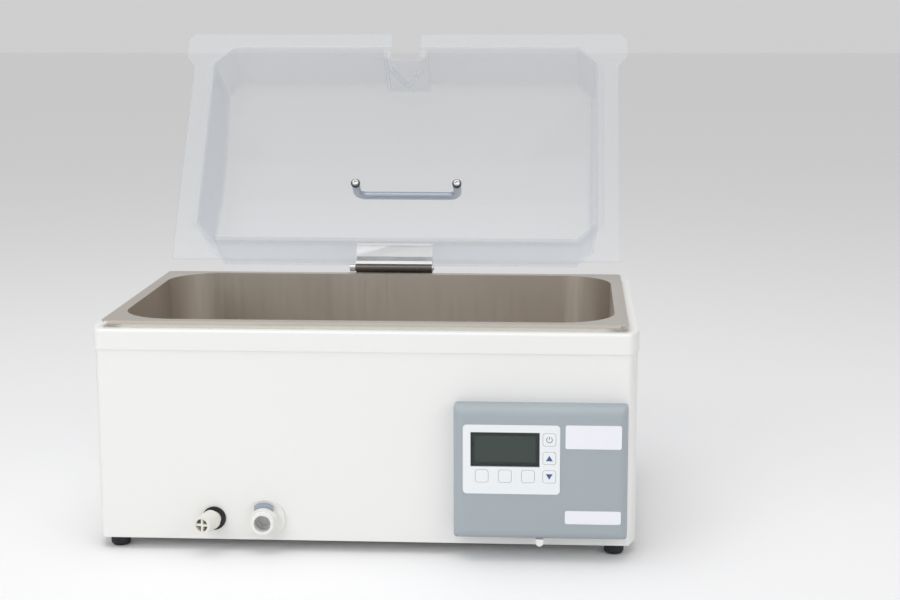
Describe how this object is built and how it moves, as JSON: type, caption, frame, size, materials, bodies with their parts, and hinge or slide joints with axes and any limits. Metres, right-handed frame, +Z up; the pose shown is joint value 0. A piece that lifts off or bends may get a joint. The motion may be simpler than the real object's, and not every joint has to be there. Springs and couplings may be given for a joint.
{
  "type": "heated water bath",
  "caption": "Bench-top heated water bath: a boxed steel tank with a clear hinged gable lid standing open, a keypad control box and a quick-release drain.",
  "frame": {"origin": "on the bench, in the plane of the feet, under the centre of the tank", "axes": "+X to the right seen from the front, +Y to the back, +Z up; the lid is at rest open, against its stop"},
  "size_m": [0.552, 0.6029, 0.5081],
  "materials": {
    "case_paint": "satin powder coat",
    "tank_steel": "satin",
    "seal_rubber": "matt",
    "foot_rubber": "matt",
    "screw_steel": "machined",
    "jacket_felt": "matt",
    "heater_silicone": "matt",
    "cutout_plastic": "matt",
    "hose_rubber": "satin",
    "socket_plastic": "satin",
    "latch_steel": "satin",
    "nozzle_plastic": "satin",
    "box_plastic": "satin",
    "keypad_plastic": "satin",
    "display_glass": "clear",
    "display_screen": "dark",
    "board_laminate": "matt",
    "plate_plastic": "satin",
    "inlet_plastic": "matt",
    "lid_clear": "clear",
    "handle_aluminium": "satin",
    "pad_plastic": "satin",
    "hinge_steel": "satin",
    "washer_rubber": "matt"
  },
  "bodies": {
    "housing": {"top_cover": "case_paint", "case_wrap": "case_paint", "rear_panel": "case_paint", "base_plate": "case_paint", "foot_front_left": "foot_rubber", "foot_rear_left": "foot_rubber", "foot_front_right": "foot_rubber", "foot_rear_right": "foot_rubber", "foot_screws": "screw_steel", "rear_screws": "screw_steel", "tank": "tank_steel", "tank_seal": "seal_rubber", "tank_jacket": "jacket_felt", "heater_mat": "heater_silicone", "temperature_probe": "screw_steel", "overheat_cutout": "cutout_plastic", "tank_outlet": "tank_steel", "drain_hose": "hose_rubber", "drain_socket": "socket_plastic", "socket_nut": "socket_plastic", "poppet_spring": "screw_steel", "latch_spring": "screw_steel", "park_grommet": "foot_rubber", "control_box": "box_plastic", "keypad_frame": "keypad_plastic", "display_window": "display_glass", "display_module": "display_screen", "control_board": "board_laminate", "name_plate_upper": "plate_plastic", "name_plate_lower": "plate_plastic", "box_catch": "socket_plastic", "box_screws": "screw_steel", "mains_inlet": "inlet_plastic", "inlet_screws": "screw_steel", "hinge_bracket": "hinge_steel", "hinge_pin": "screw_steel", "bracket_screws": "screw_steel", "bracket_nuts": "screw_steel"},
    "lid": {"lid": "lid_clear", "lid_handle": "handle_aluminium", "handle_washers": "washer_rubber", "handle_screws": "screw_steel", "hinge_pad": "pad_plastic", "hinge_leaf": "hinge_steel", "leaf_screws": "screw_steel"},
    "key_power": {"key_power": "keypad_plastic"},
    "key_up": {"key_up": "keypad_plastic"},
    "key_down": {"key_down": "keypad_plastic"},
    "key_soft_1": {"key_soft_1": "keypad_plastic"},
    "key_soft_2": {"key_soft_2": "keypad_plastic"},
    "key_soft_3": {"key_soft_3": "keypad_plastic"},
    "drain_latch": {"drain_latch": "latch_steel"},
    "drain_poppet": {"drain_poppet": "socket_plastic"},
    "drain_nozzle": {"drain_nozzle": "nozzle_plastic"}
  },
  "joints": [
    {"name": "lid_hinge", "type": "hinge", "parent": "housing", "child": "lid", "pos_m": [0, 0.169, 0.2395], "axis": [1, 0, 0], "range_deg": [0, 126]},
    {"name": "key_power_press", "type": "slide", "parent": "housing", "child": "key_power", "axis": [0, 1, 0], "range_m": [0, 0.0005], "stiffness_N_per_m": 1200, "springref_m": -0.0004},
    {"name": "key_up_press", "type": "slide", "parent": "housing", "child": "key_up", "axis": [0, 1, 0], "range_m": [0, 0.0005], "stiffness_N_per_m": 1200, "springref_m": -0.0004},
    {"name": "key_down_press", "type": "slide", "parent": "housing", "child": "key_down", "axis": [0, 1, 0], "range_m": [0, 0.0005], "stiffness_N_per_m": 1200, "springref_m": -0.0004},
    {"name": "key_soft_1_press", "type": "slide", "parent": "housing", "child": "key_soft_1", "axis": [0, 1, 0], "range_m": [0, 0.0005], "stiffness_N_per_m": 1200, "springref_m": -0.0004},
    {"name": "key_soft_2_press", "type": "slide", "parent": "housing", "child": "key_soft_2", "axis": [0, 1, 0], "range_m": [0, 0.0005], "stiffness_N_per_m": 1200, "springref_m": -0.0004},
    {"name": "key_soft_3_press", "type": "slide", "parent": "housing", "child": "key_soft_3", "axis": [0, 1, 0], "range_m": [0, 0.0005], "stiffness_N_per_m": 1200, "springref_m": -0.0004},
    {"name": "drain_latch_press", "type": "slide", "parent": "housing", "child": "drain_latch", "axis": [0, 0, -1], "range_m": [0, 0.0015], "stiffness_N_per_m": 900, "springref_m": -0.001},
    {"name": "drain_poppet_slide", "type": "slide", "parent": "housing", "child": "drain_poppet", "axis": [0, 1, 0], "range_m": [0, 0.003], "stiffness_N_per_m": 500, "springref_m": -0.002, "deforming": ["poppet_spring"]},
    {"name": "drain_nozzle_pull", "type": "slide", "parent": "housing", "child": "drain_nozzle", "axis": [-0.2756, -0.9613, 0], "range_m": [0, 0.022]}
  ]
}
